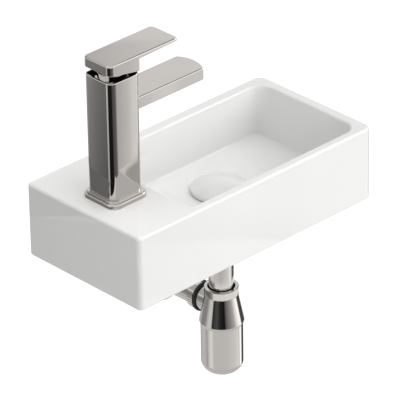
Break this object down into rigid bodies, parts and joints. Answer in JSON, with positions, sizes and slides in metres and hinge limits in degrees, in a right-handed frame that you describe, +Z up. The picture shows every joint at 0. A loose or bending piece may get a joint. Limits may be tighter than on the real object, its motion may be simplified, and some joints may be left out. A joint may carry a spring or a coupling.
{
  "type": "wall-hung hand basin",
  "caption": "Small rectangular wall-hung ceramic hand basin with a side tap ledge, chrome lever mixer tap, click waste and chrome bottle trap.",
  "frame": {"origin": "midway between the two wall fixing holes, on the basin's back face", "axes": "+X to the right seen from the front, +Y into the wall, +Z up"},
  "size_m": [0.4, 0.24, 0.5115],
  "materials": {
    "white_ceramic": "glossy",
    "chrome": "polished",
    "brass": "machined",
    "steel": "plain",
    "black_rubber": "matt",
    "white_plastic": "moulded",
    "grey_plastic": "moulded",
    "blue_red_plastic": "moulded",
    "technical_ceramic": "lapped"
  },
  "bodies": {
    "basin": {"basin": "white_ceramic", "tap_base_plate": "chrome", "tap_base_gasket": "black_rubber", "tap_body": "chrome", "tap_spout": "chrome", "aerator_housing": "chrome", "aerator_insert": "white_plastic", "aerator_washer": "black_rubber", "cartridge_seal": "black_rubber", "cartridge_base": "grey_plastic", "fixed_disc": "technical_ceramic", "cartridge_housing": "white_plastic", "cartridge_nut": "brass", "tap_cover_ring": "chrome", "fixing_stud": "steel", "horseshoe_gasket": "black_rubber", "horseshoe_washer": "steel", "fixing_nut": "brass", "waste_top_seal": "black_rubber", "waste_body": "chrome", "waste_bottom_seal": "black_rubber", "waste_back_nut": "brass", "click_barrel": "white_plastic", "plug_spring": "steel", "trap_inlet_washer": "black_rubber", "trap_tube": "chrome", "trap_inlet_nut": "chrome", "trap_neck_nut": "chrome", "trap_neck_seal": "black_rubber", "trap_body": "chrome", "outlet_seal": "black_rubber", "outlet_ring": "black_rubber", "outlet_nut": "chrome", "outlet_pipe": "chrome", "wall_rosette": "chrome"},
    "lever_carrier": {"lever_carrier": "grey_plastic", "pivot_pin": "steel"},
    "lever": {"lever": "chrome", "lever_stem": "brass", "lever_grub_screw": "steel", "indicator_plug": "blue_red_plastic"},
    "mixing_disc": {"moving_disc": "technical_ceramic"},
    "plug": {"plug_cap": "white_ceramic", "plug_plunger": "brass", "plug_seal": "black_rubber"},
    "trap_cup": {"trap_cup": "chrome", "trap_cup_seal": "black_rubber"}
  },
  "joints": [
    {"name": "lever_swivel", "type": "hinge", "parent": "basin", "child": "lever_carrier", "pos_m": [-0.145, -0.1, 0.238], "axis": [0, 0, 1], "range_deg": [-45, 45]},
    {"name": "lever_lift", "type": "hinge", "parent": "lever_carrier", "child": "lever", "pos_m": [-0.145, -0.1, 0.238], "axis": [0, -1, 0], "range_deg": [0, 18]},
    {"name": "disc_slide", "type": "slide", "parent": "lever_carrier", "child": "mixing_disc", "axis": [1, 0, 0], "range_m": [0, 0.0022]},
    {"name": "plug_slide", "type": "slide", "parent": "basin", "child": "plug", "axis": [0, 0, 1], "range_m": [0, 0.008], "deforming": ["plug_spring"]},
    {"name": "cup_lower", "type": "slide", "parent": "basin", "child": "trap_cup", "axis": [0, 0, -1], "range_m": [0, 0.065]}
  ],
  "couplings": [
    {"joint": "disc_slide", "follows": "lever_lift", "m_per_rad": 0.0068}
  ]
}
